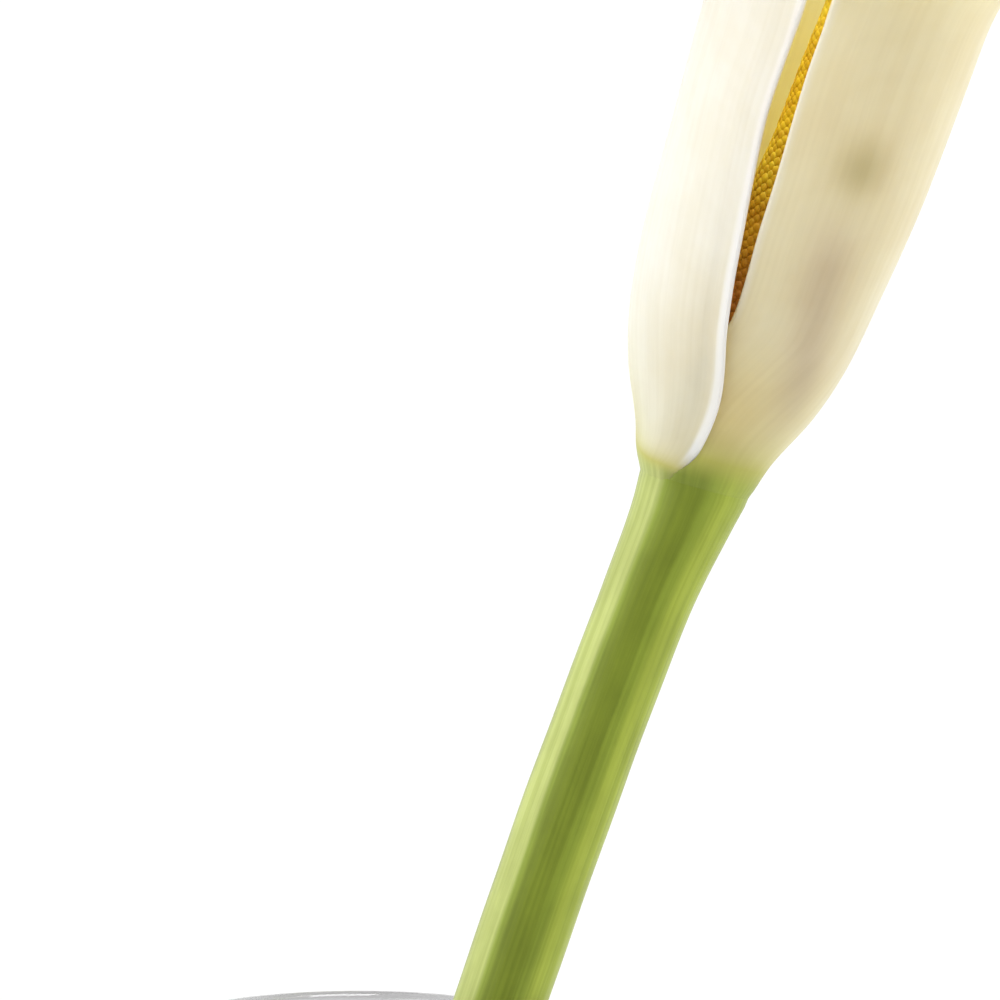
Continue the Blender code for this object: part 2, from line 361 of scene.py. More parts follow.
def streaks(tree, place, scale, detail=3.0):
    """Noise drawn out along a piece: place is what it follows, scale how fine it is each way."""
    stretch = node(tree, "ShaderNodeMapping")
    stretch.inputs["Scale"].default_value = scale
    noise = node(tree, "ShaderNodeTexNoise")
    noise.inputs["Scale"].default_value = 1.0
    noise.inputs["Detail"].default_value = detail
    tree.links.new(place, stretch.inputs["Vector"])
    tree.links.new(stretch.outputs["Vector"], noise.inputs["Vector"])
    return noise.outputs["Fac"]


def bumped(tree, shader, height, distance, strength=1.0):
    """Fine relief in metres from a height output."""
    bump = node(tree, "ShaderNodeBump")
    bump.inputs["Distance"].default_value = distance
    bump.inputs["Strength"].default_value = strength
    tree.links.new(height, bump.inputs["Height"])
    tree.links.new(bump.outputs["Normal"], shader.inputs["Normal"])


CUT_GREEN = (0.62, 0.66, 0.36)
DARK_STREAK_AND_SHADE = (0.205, 0.265, 0.020)
LEAF_GREEN = (0.275, 0.355, 0.034)
BRIGHT_STREAK_AND_LIGHT = (0.400, 0.485, 0.055)
PAINTED_HIGHLIGHT_GREEN = (0.510, 0.580, 0.180)


def wrapped(tree, round_place, along):
    """A place for noise that joins up at the back: a circle one unit round, and the length."""
    angle = math_node(tree, "MULTIPLY", round_place, 2.0 * math.pi)
    place = node(tree, "ShaderNodeCombineXYZ")
    for socket, operation in ((place.inputs[0], "COSINE"), (place.inputs[1], "SINE")):
        part = math_node(tree, operation, angle)
        tree.links.new(math_node(tree, "MULTIPLY", part, 0.5 / math.pi), socket)
    tree.links.new(along, place.inputs[2])
    return place.outputs[0]


def stalk_colour(tree, round_place, along):
    """The stalk's long pale and dark bands and its fine streaks. In front the bands are painted light: a
    painted highlight down its left, painted shade down its front and a lighter painted rim on its right;
    round the back they are plain streaks. The first input is how far round it a point is, starting at the
    back, and the second is how far up, both as shares."""
    place = wrapped(tree, round_place, along)
    wander = math_node(tree, "MULTIPLY_ADD", streaks(tree, place, (5.0, 5.0, 9.0), 2.0), 0.02, round_place)
    # In front these bands are painted light: a pale painted highlight on the left, dark painted shade in the
    # middle, a brighter painted rim on the right.
    bands = ramp(tree, math_node(tree, "SUBTRACT", wander, 0.01), [
        (0.00, LEAF_GREEN), (0.12, BRIGHT_STREAK_AND_LIGHT), (0.22, LEAF_GREEN), (0.31, PAINTED_HIGHLIGHT_GREEN), (0.385, PAINTED_HIGHLIGHT_GREEN),
        (0.410, LEAF_GREEN), (0.435, DARK_STREAK_AND_SHADE), (0.515, DARK_STREAK_AND_SHADE), (0.545, LEAF_GREEN), (0.60, BRIGHT_STREAK_AND_LIGHT),
        (0.74, BRIGHT_STREAK_AND_LIGHT), (0.86, LEAF_GREEN), (0.94, DARK_STREAK_AND_SHADE), (1.00, LEAF_GREEN)])
    fine = ramp(tree, streaks(tree, place, (70.0, 70.0, 5.0), 4.0), [
        (0.3, (0.88, 0.89, 0.80)), (0.7, (1.08, 1.07, 1.12))])
    blotch = ramp(tree, streaks(tree, place, (9.0, 9.0, 22.0), 4.0), [
        (0.35, (0.92, 0.92, 0.88)), (0.65, (1.05, 1.05, 1.05))])
    return mixed(tree, 1.0, mixed(tree, 1.0, bands, fine, "MULTIPLY"), blotch, "MULTIPLY")


stem_looks, tree, shader = new_material("green_stem")
split = node(tree, "ShaderNodeSeparateXYZ")
tree.links.new(uv_place(tree), split.inputs["Vector"])
mottled_and_lit = stalk_colour(tree, split.outputs["X"], split.outputs["Y"])
cut_face = ramp(tree, split.outputs["Y"], [(0.0, (1, 1, 1)), (0.0005, (0, 0, 0))], "LINEAR")
whole = mixed(tree, cut_face, mottled_and_lit, CUT_GREEN)
tree.links.new(whole, shader.inputs["Base Color"])
shader.inputs["Roughness"].default_value = 0.38
shader.inputs["Specular IOR Level"].default_value = 0.35
shader.inputs["IOR"].default_value = 1.45
shader.inputs["Subsurface Weight"].default_value = 0.10
shader.inputs["Subsurface Radius"].default_value = (1.0, 1.0, 0.3)
shader.inputs["Subsurface Scale"].default_value = 1.5 * MM
bumped(tree, shader, streaks(tree, uv_place(tree), (85.0, 4.0, 1.0), 4.0), 0.10 * MM, 0.5)

stem = mesh_piece("stem_stalk", points, faces, stem_looks)
add_uvs(stem.data, uvs)
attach(stem, "root")
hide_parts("stem")


# ---------------------------------------------------------------------------
# Spadix: the true flower, a fleshy yellow spike packed with hundreds of tiny florets in
# spirals. It grew from the top of the stem and stands a little right of the leaf's middle.

SPADIX_RADIUS = [(3.4, 4.6), (8.0, 6.2), (18.0, 6.8), (48.0, 6.8), (59.0, 5.7), (72.0, 5.0), (84.0, 4.1),
                 (94.0, 3.6)]
SPADIX_LOW = SPADIX_RADIUS[0][0]
SPADIX_WIDEST = max(radius for _, radius in SPADIX_RADIUS)
SPADIX_FOOT = NECK + FLOWER_RIGHT * (0.8 * MM)
SPADIX_TOP = 102.0
SPADIX_ROOT = 1.0  # mm past the neck, just inside the top of the stem
spadix_sides = 48
floret_radius = 0.88  # mm
floret_height = 0.34
floret_count = 2300
floret_seed = 4
GOLDEN_ANGLE = math.pi * (3.0 - math.sqrt(5.0))


def spadix_radius(s):
    """Radius of the spike's core in mm, s mm along the flower's axis, round at its end."""
    last = SPADIX_RADIUS[-1][0]
    if s <= last:
        return curve_at(SPADIX_RADIUS, s)
    return SPADIX_RADIUS[-1][1] * math.sqrt(max(0.0, 1.0 - ((s - last) / (SPADIX_TOP - last)) ** 2))


def floret_mesh(looks):
    """One floret: a low, blunt bump of a few dozen faces, one millimetre across before it is scaled."""
    around, up = 7, 3
    points, faces = [], []
    for r in range(up):
        angle = 0.5 * math.pi * r / up
        for k in range(around):
            turn = 2.0 * math.pi * k / around
            reach = math.cos(angle)
            points.append((reach * math.cos(turn), reach * math.sin(turn), math.sin(angle)))
    points.append((0.0, 0.0, 0.92))
    points.append((0.0, 0.0, -0.6))
    for r in range(up - 1):
        for k in range(around):
            a, b = r * around + k, r * around + (k + 1) % around
            faces.append((a, b, b + around, a + around))
    for k in range(around):
        top = (up - 1) * around
        faces.append((top + k, top + (k + 1) % around, around * up))
        faces.append(((k + 1) % around, k, around * up + 1))
    return mesh_piece("floret", points, faces, looks, 180.0)


def floret_tree(floret, looks):
    """Geometry Nodes: florets set in a golden-angle spiral over a spike of varying radius."""
    tree = bpy.data.node_groups.new("floret_spiral", "GeometryNodeTree")
    face = tree.interface
    face.new_socket("Geometry", in_out="INPUT", socket_type="NodeSocketGeometry")
    face.new_socket("Florets", in_out="INPUT", socket_type="NodeSocketInt")
    for name in ("Start", "Length", "Widest", "Floret Radius", "Floret Height"):
        face.new_socket(name, in_out="INPUT", socket_type="NodeSocketFloat")
    face.new_socket("Seed", in_out="INPUT", socket_type="NodeSocketInt")
    face.new_socket("Geometry", in_out="OUTPUT", socket_type="NodeSocketGeometry")
    given = tree.nodes.new("NodeGroupInput").outputs
    result = tree.nodes.new("NodeGroupOutput")
    dots = tree.nodes.new("GeometryNodePoints")
    tree.links.new(given["Florets"], dots.inputs["Count"])
    index = tree.nodes.new("GeometryNodeInputIndex").outputs[0]
    share = math_node(tree, "DIVIDE", math_node(tree, "ADD", index, 0.5), given["Florets"])
    outline = tree.nodes.new("ShaderNodeFloatCurve")
    curve = outline.mapping.curves[0]
    steps = 24
    while len(curve.points) < steps + 1:
        curve.points.new(0.5, 0.5)
    for k, point in enumerate(curve.points):
        s = SPADIX_LOW + (SPADIX_TOP - SPADIX_LOW) * k / steps
        point.location = (k / steps, spadix_radius(s) / SPADIX_WIDEST)
    outline.mapping.update()
    tree.links.new(share, outline.inputs["Value"])
    radius = math_node(tree, "MULTIPLY", outline.outputs[0], given["Widest"])
    turn = math_node(tree, "MULTIPLY", index, GOLDEN_ANGLE)
    cosine, sine = math_node(tree, "COSINE", turn), math_node(tree, "SINE", turn)
    place = tree.nodes.new("ShaderNodeCombineXYZ")
    tree.links.new(math_node(tree, "MULTIPLY", cosine, radius), place.inputs[0])
    tree.links.new(math_node(tree, "MULTIPLY", sine, radius), place.inputs[1])
    tree.links.new(math_node(tree, "MULTIPLY_ADD", share, given["Length"], given["Start"]), place.inputs[2])
    facing = tree.nodes.new("ShaderNodeCombineXYZ")
    tree.links.new(cosine, facing.inputs[0])
    tree.links.new(sine, facing.inputs[1])
    tree.links.new(math_node(tree, "MULTIPLY", math_node(tree, "POWER", share, 24.0), 3.0), facing.inputs[2])
    move = tree.nodes.new("GeometryNodeSetPosition")
    tree.links.new(dots.outputs[0], move.inputs["Geometry"])
    tree.links.new(place.outputs[0], move.inputs["Position"])
    aim = tree.nodes.new("FunctionNodeAlignRotationToVector")
    aim.axis = "Z"
    tree.links.new(facing.outputs[0], aim.inputs["Vector"])
    vary = tree.nodes.new("FunctionNodeRandomValue")
    vary.data_type = "FLOAT"
    vary.inputs[2].default_value = 0.82
    vary.inputs[3].default_value = 1.15
    tree.links.new(given["Seed"], vary.inputs["Seed"])
    size = tree.nodes.new("ShaderNodeCombineXYZ")
    across = math_node(tree, "MULTIPLY", given["Floret Radius"], vary.outputs[1])
    tree.links.new(across, size.inputs[0])
    tree.links.new(across, size.inputs[1])
    tree.links.new(math_node(tree, "MULTIPLY", given["Floret Height"], vary.outputs[1]), size.inputs[2])
    source = tree.nodes.new("GeometryNodeObjectInfo")
    source.inputs["Object"].default_value = floret
    spread = tree.nodes.new("GeometryNodeInstanceOnPoints")
    tree.links.new(move.outputs[0], spread.inputs["Points"])
    tree.links.new(source.outputs["Geometry"], spread.inputs["Instance"])
    tree.links.new(aim.outputs[0], spread.inputs["Rotation"])
    tree.links.new(size.outputs[0], spread.inputs["Scale"])
    join = tree.nodes.new("GeometryNodeJoinGeometry")
    tree.links.new(given["Geometry"], join.inputs[0])
    tree.links.new(spread.outputs[0], join.inputs[0])
    stand = tree.nodes.new("GeometryNodeTransform")
    stand.inputs["Translation"].default_value = SPADIX_FOOT
    stand.inputs["Rotation"].default_value = Euler((0.0, FLOWER_LEAN, 0.0))
    tree.links.new(join.outputs[0], stand.inputs[0])
    real = tree.nodes.new("GeometryNodeRealizeInstances")
    tree.links.new(stand.outputs[0], real.inputs[0])
    paint = tree.nodes.new("GeometryNodeSetMaterial")
    paint.inputs["Material"].default_value = looks
    tree.links.new(real.outputs[0], paint.inputs[0])
    tree.links.new(paint.outputs[0], result.inputs[0])
    return tree


def grown(piece, tree, sizes):
    """Run a node tree on a piece and keep its result as the piece's own plain mesh."""
    grow = piece.modifiers.new("grow", "NODES")
    grow.node_group = tree
    for socket in tree.interface.items_tree:
        if socket.in_out == "INPUT" and socket.name in sizes:
            grow[socket.identifier] = sizes[socket.name]
    seen = piece.evaluated_get(bpy.context.evaluated_depsgraph_get())
    mesh = bpy.data.meshes.new_from_object(seen)
    piece.modifiers.remove(grow)
    piece.data = mesh
    return piece


spadix_looks, tree, shader = new_material("yellow_spadix")
where = node(tree, "ShaderNodeTexCoord")
turned_axis = node(tree, "ShaderNodeMapping", vector_type="TEXTURE")
turned_axis.inputs["Location"].default_value = SPADIX_FOOT
turned_axis.inputs["Rotation"].default_value = (0.0, FLOWER_LEAN, 0.0)
tree.links.new(where.outputs["Object"], turned_axis.inputs["Vector"])
split = node(tree, "ShaderNodeSeparateXYZ")
tree.links.new(turned_axis.outputs["Vector"], split.inputs["Vector"])
along = math_node(tree, "DIVIDE", split.outputs["Z"], SPADIX_TOP * MM)
# The spike darkens to brown towards its foot: a painted shade for the depth of the spathe round it.
spike = ramp(tree, along, [
    (0.18, (0.44, 0.20, 0.060)), (0.30, (0.66, 0.26, 0.050)), (0.42, (0.86, 0.48, 0.030)),
    (0.52, (0.98, 0.70, 0.035)), (0.64, (0.99, 0.64, 0.016)), (1.0, (0.99, 0.76, 0.06))])
grain = node(tree, "ShaderNodeTexNoise")
grain.inputs["Scale"].default_value = 520.0
grain.inputs["Detail"].default_value = 3.0
tree.links.new(where.outputs["Object"], grain.inputs["Vector"])
pollen = ramp(tree, grain.outputs["Fac"], [(0.35, (0.86, 0.80, 0.66)), (0.65, (1.06, 1.10, 1.2))])
tree.links.new(mixed(tree, 1.0, spike, pollen, "MULTIPLY"), shader.inputs["Base Color"])
shader.inputs["Roughness"].default_value = 0.62
shader.inputs["Subsurface Weight"].default_value = 0.15
shader.inputs["Subsurface Radius"].default_value = (1.0, 0.5, 0.1)
shader.inputs["Subsurface Scale"].default_value = 1.0 * MM
bumped(tree, shader, grain.outputs["Fac"], 0.10 * MM, 0.5)

profile = [(0.9 * SPADIX_RADIUS[0][1] * MM, SPADIX_ROOT * MM)]
core_steps = 60
tip_flat = 0.05  # mm left off the very tip, so that its last ring is not a point
for k in range(core_steps + 1):
    s = SPADIX_LOW + (SPADIX_TOP - tip_flat - SPADIX_LOW) * k / core_steps
    profile.append((spadix_radius(s) * MM, s * MM))
spadix = turned("spadix_spike", profile, spadix_sides, spadix_looks)
floret = floret_mesh(spadix_looks)
spadix = grown(spadix, floret_tree(floret, spadix_looks), {
    "Florets": floret_count, "Start": SPADIX_LOW * MM, "Length": (SPADIX_TOP - SPADIX_LOW) * MM,
    "Widest": SPADIX_WIDEST * MM, "Floret Radius": floret_radius * MM, "Floret Height": floret_height * MM,
    "Seed": floret_seed})
bpy.data.objects.remove(floret)
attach(spadix, "root")
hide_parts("spadix")


# ---------------------------------------------------------------------------
# Spathe: the white part, one thick waxy leaf rolled round the spike, green where it
# joins the stem. Its left margin laps over the right one; above the slit its rim curls out.

SPATHE_RADIUS = [(-3.0, 8.80), (-1.3, 9.54), (1.0, 10.54), (6.0, 12.2), (15.0, 16.3), (25.0, 19.1),
                 (40.0, 21.0), (60.0, 22.4), (90.0, 23.7), (160.0, 26.0)]
LEFT_MARGIN = [(-3.0, -34.0), (0.0, -22.0), (2.2, -11.5), (6.0, -4.5), (14.0, -2.5), (26.0, -10.0),
               (40.0, -15.5), (60.0, -22.0), (76.0, -21.0), (95.0, -21.0), (160.0, -21.0)]
RIGHT_MARGIN = [(0.0, -50.0), (12.0, -38.0), (22.0, -18.0), (28.0, -8.5), (45.0, -9.3), (70.0, -10.7),
                (84.0, -8.5), (100.0, -6.0), (160.0, -6.0)]
SPATHE_LAP = 1.7
SPATHE_THICKNESS = [(0.0, 1.2), (60.0, 1.15), (120.0, 0.9), (160.0, 0.8)]
SPATHE_FOOT = -3.0  # mm along the axis, tucked into the top of the stem
RIM_FRONT = 92.0
RIM_RISE = 31.0
TIP_RISE = 26.0
TIP_WIDTH = 0.28
POINT_RISE = 9.0
POINT_WIDTH = 0.06
POINT_SOFT = 0.012  # share over which the fold behind the point is rounded
CURL_DEGREES = [(0.0, 30.0), (0.2, 75.0), (0.5, 108.0), (0.8, 92.0), (1.0, 86.0)]
CURL_REACH = [(0.0, 18.0), (0.3, 30.0), (0.6, 35.0), (1.0, 58.0)]
leaf_columns = 250
leaf_rows = 110
leaf_substeps = 4
bead_width = 1.1  # mm of the margin that rolls outward
bead_height = 0.55
HALF_WRAP = 2.975  # radians from a margin to the back
vein_height = 0.020
vein_count = 150.0

# How green the leaf is along its axis: in front on the left, in front on the right, and at the left side.
LAP_GREEN = [(-3.0, 1.0), (-1.2, 0.98), (1.2, 0.50), (3.0, 0.22), (6.0, 0.10), (14.0, 0.03), (26.0, 0.0)]
RIGHT_GREEN = [(-3.0, 1.0), (-0.5, 0.96), (2.0, 0.76), (5.0, 0.50), (8.0, 0.30), (13.0, 0.15), (26.0, 0.0)]
LEFT_GREEN = [(-3.0, 1.0), (-0.5, 0.88), (4.0, 0.50), (9.0, 0.32), (18.0, 0.14), (34.0, 0.0)]
SHADE_PATH = [(14.0, 47.0), (28.0, 36.0), (40.0, 29.0), (54.0, 24.0)]


def leaf_length(share):
    """Length of the leaf along a column; share runs from 0 at a margin to 1 at the back."""
    off = 1.0 - share
    soft = math.hypot(off, POINT_SOFT) - POINT_SOFT
    tip = TIP_RISE * math.exp(-((off / TIP_WIDTH) ** 2)) + POINT_RISE * math.exp(-soft / POINT_WIDTH)
    return RIM_FRONT + RIM_RISE * share ** 0.5 + tip


def leaf_turn(side, s):
    """Degrees from the back, + to the right, of a place across the leaf s mm along the axis."""
    if side < 0.0:
        return side * (180.0 + curve_at(LEFT_MARGIN, s))
    return side * (180.0 - curve_at(RIGHT_MARGIN, s))


def from_margin(side, s):
    """How far, in mm round the leaf, a place is from its nearer margin."""
    return (1.0 - abs(side)) * HALF_WRAP * curve_at(SPATHE_RADIUS, s)


def leaf_point(side, s, flare):
    """A point of the outer face at s mm along the axis, flare mm outside the plain funnel."""
    turn = leaf_turn(side, s)
    full_lap = SPATHE_LAP * (1.0 - 0.6 * ease(30.0, 60.0, s))
    open_lap = full_lap * ease(0.0, 9.0, s)
    covered = 181.0 - curve_at(LEFT_MARGIN, s)
    inward = open_lap * ease(115.0, 172.0, turn) + (full_lap - open_lap) * ease(covered, covered + 9.0, turn)
    edge = from_margin(side, s)
    if side < 0.0:
        roll = bead_height * ease(2.0, 9.0, s) * (1.0 - 0.5 * ease(30.0, 60.0, s))
    else:
        roll = 0.35 * bead_height * ease(26.0, 40.0, s)
    bead = roll * (math.exp(-((edge / bead_width) ** 2)) - 0.25 * math.exp(-(((edge - 3.0) / 1.6) ** 2)))
    radius = curve_at(SPATHE_RADIUS, s) + flare - inward + bead
    angle = math.radians(turn)
    centre = NECK + FLOWER_UP * (s * MM) + FLOWER_RIGHT * neck_slant(s)
    return centre + (FLOWER_RIGHT * math.sin(angle) + BACK * math.cos(angle)) * (radius * MM)


def leaf_column(side, rows):
    """Points of one column of the outer face from foot to rim, with each one's place along the axis."""
    share = 1.0 - abs(side)
    length = leaf_length(share) + 0.8 * math.sin(9.0 * side + 0.7)
    curl = math.radians(curve_at(CURL_DEGREES, share) + 6.0 * math.sin(7.0 * side + 2.0))
    reach = curve_at(CURL_REACH, share)
    made = []
    s, flare, along = SPATHE_FOOT, 0.0, SPATHE_FOOT
    small = (length - SPATHE_FOOT) / (rows * leaf_substeps)
    for k in range(rows * leaf_substeps + 1):
        if k % leaf_substeps == 0:
            made.append((leaf_point(side, s, flare), s))
        bend = curl * max(0.0, 1.0 - (length - along) / reach) ** 1.6
        s += small * math.cos(bend)
        flare += small * math.sin(bend)
        along += small
    return made


def leaf_sides(columns):
    """The columns' places across the leaf, closer together at the margins and the tip."""
    right = []
    for k in range(columns // 2 + 1):
        x = k / (columns // 2)
        right.append(0.5 * (x ** 1.35 + 1.0 - (1.0 - x) ** 1.25))
    return [-v for v in reversed(right)] + right[1:]


def sheet_normals(grid):
    """Outward directions of a grid of points that runs across, then up."""
    normals = []
    for i, column in enumerate(grid):
        before, after = grid[max(i - 1, 0)], grid[min(i + 1, len(grid) - 1)]
        row = []
        for k in range(len(column)):
            across = after[k] - before[k]
            up = column[min(k + 1, len(column) - 1)] - column[max(k - 1, 0)]
            row.append(up.cross(across).normalized())
        normals.append(row)
    return normals


def bump_at(x, centre, width):
    """A smooth hump of height 1."""
    return math.exp(-(((x - centre) / width) ** 2))


def greenness(side, front, s):
    """0 where the leaf is white, 1 where it is as green as the stem; front is degrees round from
    the front, + to the right."""
    left = curve_at(LEFT_GREEN, s)
    if side < 0.0:
        toward = ease(-95.0, -45.0, front)
        return left * (1.0 - toward) + curve_at(LAP_GREEN, s) * toward
    around = ease(60.0, 130.0, front)
    return curve_at(RIGHT_GREEN, s) * (1.0 - around) + left * around


def cream_shading(side, front, s):
    """How much cream the leaf is given, a painted shade warmed as if lit through the leaf: its right side is,
    and its left side only low down beside the lap.
    """
    if side >= 0.0:
        return 1.0 - 0.75 * ease(60.0, 150.0, front)
    beside_lap = ease(-70.0, -20.0, front) * (1.0 - ease(14.0, 52.0, s))
    return 0.5 * beside_lap + 0.25 * ease(120.0, 180.0, -front)


def tanning(side, front, s):
    """How tan the right side is, low down where it goes under the lap."""
    if side < 0.0:
        return 0.0
    return 0.55 * bump_at(front, 5.0, 30.0) * ease(2.0, 8.0, s) * (1.0 - ease(12.0, 30.0, s))


def painted_margin_highlight(side, s):
    """The leaf's margins, painted paler as a highlight: a bright bead on the lap, and a fainter line on the
    margin under it.
    """
    edge = from_margin(side, s)
    if side < 0.0:
        strip = 1.0 - ease(0.86, 1.73, edge)
    else:
        strip = 0.3 * (1.0 - ease(0.48, 1.25, edge)) * ease(24.0, 34.0, s)
    return strip * ease(1.0, 5.0, s)


def lap_shade(side, front, s):
    """A faint shade low on the left side, beside the lap's rolled margin."""
    if side >= 0.0:
        return 0.0
    return 0.20 * ease(-65.0, -15.0, front) * (1.0 - ease(16.0, 50.0, s))


def dark_marks(front, s):
    """Faint dark marks: a soft spot on the right and a long shade below it, over the spike inside."""
    spot = bump_at(front, 25.5, 13.0) * bump_at(s, 58.0, 5.4)
    shade = bump_at(front, curve_at(SHADE_PATH, s), 14.0) * ease(6.0, 24.0, s) * (1.0 - ease(40.0, 54.0, s))
    return 0.72 * spot, 0.50 * shade


grid, lengths = [], []
sides = leaf_sides(leaf_columns)
for side in sides:
    column = leaf_column(side, leaf_rows)
    grid.append([point for point, _ in column])
    lengths.append([s for _, s in column])
normals = sheet_normals(grid)
count_across, count_up = len(grid), leaf_rows + 1
outer, inner = [], []
for i, side in enumerate(sides):
    for k in range(count_up):
        vein = vein_height * math.cos(side * vein_count) * ease(2.0, 30.0, lengths[i][k])
        point = grid[i][k] + normals[i][k] * (vein * MM)
        depth = curve_at(SPATHE_THICKNESS, 160.0 * k / leaf_rows)
        outer.append(point)
        inner.append(grid[i][k] - normals[i][k] * (depth * MM))

border = [(i, 0) for i in range(count_across)]
border += [(count_across - 1, k) for k in range(1, count_up)]
border += [(i, count_up - 1) for i in range(count_across - 2, -1, -1)]
border += [(0, k) for k in range(count_up - 2, 0, -1)]
points = outer + inner
total = len(outer)
edge_start = len(points)
for i, k in border:
    near_i = min(max(i, 1), count_across - 2)
    near_k = min(max(k, 1), count_up - 2)
    a, b = outer[i * count_up + k], inner[i * count_up + k]
    away = (a - outer[near_i * count_up + near_k]).normalized()
    points.append((a + b) / 2.0 + away * ((a - b).length * 0.42))

faces, uvs = [], []


def leaf_uv(index):
    """Across and along the leaf, for a point of either face."""
    i, k = divmod(index % total, count_up)
    return (0.5 + 0.5 * sides[i], k / leaf_rows)


for i in range(count_across - 1):
    for k in range(count_up - 1):
        a, b = i * count_up + k, (i + 1) * count_up + k
        faces.append((a, a + 1, b + 1, b))
        faces.append((total + a, total + b, total + b + 1, total + a + 1))
ring_size = len(border)
for n, (i, k) in enumerate(border):
    j, m = border[(n + 1) % ring_size]
    a, b = i * count_up + k, j * count_up + m
    edge_a, edge_b = edge_start + n, edge_start + (n + 1) % ring_size
    faces.append((a, b, edge_b, edge_a))
    faces.append((edge_a, edge_b, total + b, total + a))
edge_uv = {edge_start + n: leaf_uv(i * count_up + k) for n, (i, k) in enumerate(border)}
for face in faces:
    uvs.append([edge_uv[index] if index in edge_uv else leaf_uv(index) for index in face])

spathe_looks, tree, shader = new_material("white_spathe")


def leaf_mask(tree, name):
    """One of the leaf's own masks, read as a number."""
    made = node(tree, "ShaderNodeAttribute", attribute_type="GEOMETRY", attribute_name=name)
    return made.outputs["Fac"]


WHITE = (0.925, 0.895, 0.765)
PAINTED_SHADE_CREAM = (0.880, 0.775, 0.520)
TAN = (0.800, 0.600, 0.280)
INSIDE_REFLECTED_YELLOW = (0.950, 0.840, 0.450)
YELLOW_GREEN = (0.560, 0.540, 0.130)
SPOT_OLIVE = (0.480, 0.430, 0.205)
SHADE_MAUVE = (0.490, 0.405, 0.300)
MARGIN_HIGHLIGHT_WHITE = (1.0, 0.965, 0.860)
# The cream is painted shade, warmed as if lit through the leaf: on the right side and low beside the lap.
cream = mixed(tree, leaf_mask(tree, "cream_shade"), WHITE, PAINTED_SHADE_CREAM)
tanned = mixed(tree, leaf_mask(tree, "tan"), cream, TAN)
# The inner face is painted yellow: a painted reflection of the spike's light, fading towards the rim.
inside = mixed(tree, leaf_mask(tree, "inside"), tanned, INSIDE_REFLECTED_YELLOW)
tinge = ramp(tree, leaf_mask(tree, "green"), [(0.0, (0.0,) * 3), (0.60, (1.0,) * 3)], "LINEAR")
tinged = mixed(tree, tinge, inside, YELLOW_GREEN)
foot = ramp(tree, leaf_mask(tree, "green"), [(0.48, (0.0,) * 3), (0.98, (1.0,) * 3)], "EASE")
# The green foot takes the stalk's bands, with their painted highlight and painted shade.
greened = mixed(tree, foot, tinged, stalk_colour(tree, leaf_mask(tree, "round"), leaf_mask(tree, "along")))
spotted = mixed(tree, leaf_mask(tree, "spot"), greened, SPOT_OLIVE)
shaded = mixed(tree, leaf_mask(tree, "shade"), spotted, SHADE_MAUVE)
veins = ramp(tree, streaks(tree, uv_place(tree), (110.0, 2.2, 1.0)), [
    (0.32, (0.975, 0.97, 0.955)), (0.68, (1.01, 1.01, 1.01))])
veined = mixed(tree, 1.0, shaded, veins, "MULTIPLY")
cloudy = ramp(tree, streaks(tree, uv_place(tree), (9.0, 7.0, 1.0)), [
    (0.35, (0.965, 0.955, 0.93)), (0.65, (1.02, 1.02, 1.02))])
clouded = mixed(tree, 1.0, veined, cloudy, "MULTIPLY")
# The margins are painted whiter: a painted highlight where their rolled edge catches the light.
edged = mixed(tree, leaf_mask(tree, "edge"), clouded, MARGIN_HIGHLIGHT_WHITE)
tree.links.new(edged, shader.inputs["Base Color"])
shader.inputs["Roughness"].default_value = 0.42
shader.inputs["IOR"].default_value = 1.42
glow = ramp(tree, leaf_mask(tree, "green"), [(0.1, (0.85,) * 3), (0.7, (0.10,) * 3)], "LINEAR")
tree.links.new(glow, shader.inputs["Subsurface Weight"])
shader.inputs["Subsurface Radius"].default_value = (1.0, 0.95, 0.85)
shader.inputs["Subsurface Scale"].default_value = 3.0 * MM
bumped(tree, shader, streaks(tree, uv_place(tree), (120.0, 2.5, 1.0), 4.0), 0.06 * MM, 0.4)

spathe = mesh_piece("spathe_leaf", points, faces, spathe_looks, 180.0)
add_uvs(spathe.data, uvs)
masks = {name: [] for name in ("green", "round", "along", "cream_shade", "tan", "inside", "spot", "shade", "edge")}
for index in range(len(points)):
    n = index - edge_start
    i, k = border[n] if n >= 0 else divmod(index % total, count_up)
    side, s = sides[i], lengths[i][k]
    turn = leaf_turn(side, s)
    front = 180.0 - turn if turn >= 0.0 else -180.0 - turn
    spot, shade = dark_marks(front, s)
    within = total <= index < edge_start
    outside = 0.0 if within else 1.0
    masks["green"].append(greenness(side, front, s))
    masks["round"].append(0.5 + front / 360.0)
    masks["along"].append(stem_share(s))
    masks["cream_shade"].append(cream_shading(side, front, s))
    masks["tan"].append(tanning(side, front, s))
    # the inner face's painted reflection of the spike, fading towards the top
    masks["inside"].append((1.0 - 0.8 * ease(70.0, 115.0, s)) if within else 0.0)
    masks["spot"].append(spot * outside)
    masks["shade"].append((shade + lap_shade(side, front, s)) * outside)
    masks["edge"].append(painted_margin_highlight(side, s) * outside)
for name, values in masks.items():
    spathe.data.attributes.new(name, "FLOAT", "POINT").data.foreach_set("value", values)
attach(spathe, "root")
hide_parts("spathe")


# ---------------------------------------------------------------------------
# Stage: a plain white studio. A round pale floor that fades into the white round it, a
# large soft light on the left, a dim one on the right, one above, and the camera at the flower's height.

